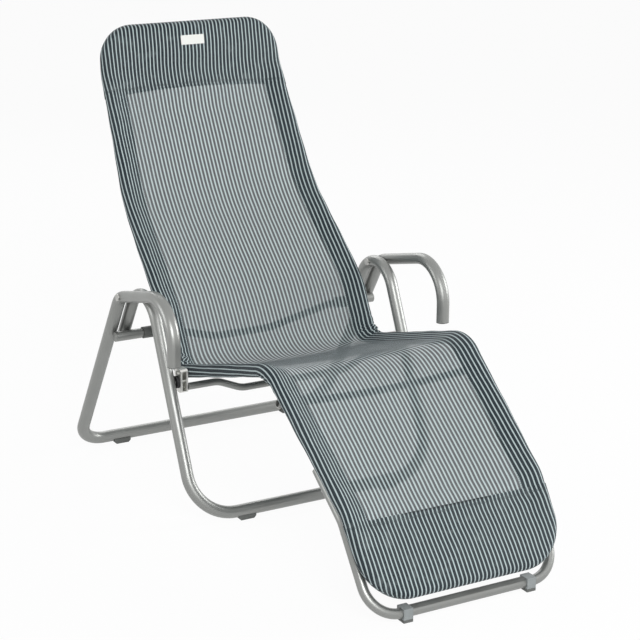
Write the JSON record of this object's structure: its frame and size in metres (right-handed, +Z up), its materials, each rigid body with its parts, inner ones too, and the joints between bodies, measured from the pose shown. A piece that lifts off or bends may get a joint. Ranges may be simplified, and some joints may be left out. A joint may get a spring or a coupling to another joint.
{
  "type": "folding reclining chair",
  "caption": "Folding tubular reclining lounger with a hooked-arm rear frame, an arched front frame and a tilting wavy lounge with a sleeved mesh sling.",
  "frame": {"origin": "on the floor, under the middle of the chair's bounding box, halfway across its width", "axes": "+Z up, +Y from the foot end towards the head end, +X towards the right arm rest of a person in the chair"},
  "size_m": [0.675, 1.2014, 0.9448],
  "materials": {
    "powder_coat": "silver grey powder coat, satin",
    "cloth": "woven striped mesh, matt",
    "label": "white, matt",
    "fixing": "zinc plated, satin",
    "clip": "light grey, satin",
    "spacer": "black, matt",
    "rubber": "dark grey, matt"
  },
  "bodies": {
    "rear_frame_body": {"rear_frame": "powder_coat", "stop_bar": "powder_coat", "stop_socket_left": "powder_coat", "stop_socket_right": "powder_coat", "bumper_left": "rubber", "bumper_right": "rubber", "arm_plug_left": "rubber", "arm_plug_right": "rubber", "rear_foot_left": "rubber", "rear_foot_right": "rubber", "fold_bolt_left": "fixing", "fold_bolt_right": "fixing", "fold_washer_left": "spacer", "fold_washer_right": "spacer"},
    "front_frame_body": {"front_frame": "powder_coat", "branch_plug_left": "rubber", "branch_plug_right": "rubber", "front_foot_left": "rubber", "front_foot_right": "rubber"},
    "tilt_pivots": {"tilt_bolt_left": "fixing", "tilt_bolt_right": "fixing", "tilt_spacer_left": "spacer", "tilt_spacer_right": "spacer"},
    "lounge": {"side_tube_left": "powder_coat", "side_tube_right": "powder_coat", "head_tube": "powder_coat", "foot_tube": "powder_coat", "bracket_left": "powder_coat", "bracket_right": "powder_coat", "bracket_screws": "fixing", "seat_cross_tube": "powder_coat", "knee_cross_tube": "powder_coat", "knee_screws": "fixing", "foot_loop": "powder_coat", "loop_screws": "fixing", "loop_strip": "rubber", "clip_left": "clip", "clip_right": "clip", "clip_foot_left": "rubber", "clip_foot_right": "rubber", "sling": "cloth", "sleeve_left": "cloth", "sleeve_right": "cloth", "head_pocket": "cloth", "foot_pocket": "cloth", "label_tag": "label"}
  },
  "joints": [
    {"name": "tilt_follow", "type": "hinge", "parent": "tilt_pivots", "child": "front_frame_body", "pos_m": [0, 0.10561, 0.277], "axis": [-1, 0, 0], "range_deg": [0, 54.5]},
    {"name": "fold", "type": "hinge", "parent": "front_frame_body", "child": "rear_frame_body", "pos_m": [0, 0.24521, 0.432], "axis": [-1, 0, 0], "range_deg": [0, 62]},
    {"name": "recline", "type": "hinge", "parent": "tilt_pivots", "child": "lounge", "pos_m": [0, 0.10561, 0.277], "axis": [-1, 0, 0], "range_deg": [0, 21.5]}
  ],
  "couplings": [
    {"joint": "tilt_follow", "follows": "fold", "ratio": 0.87}
  ]
}
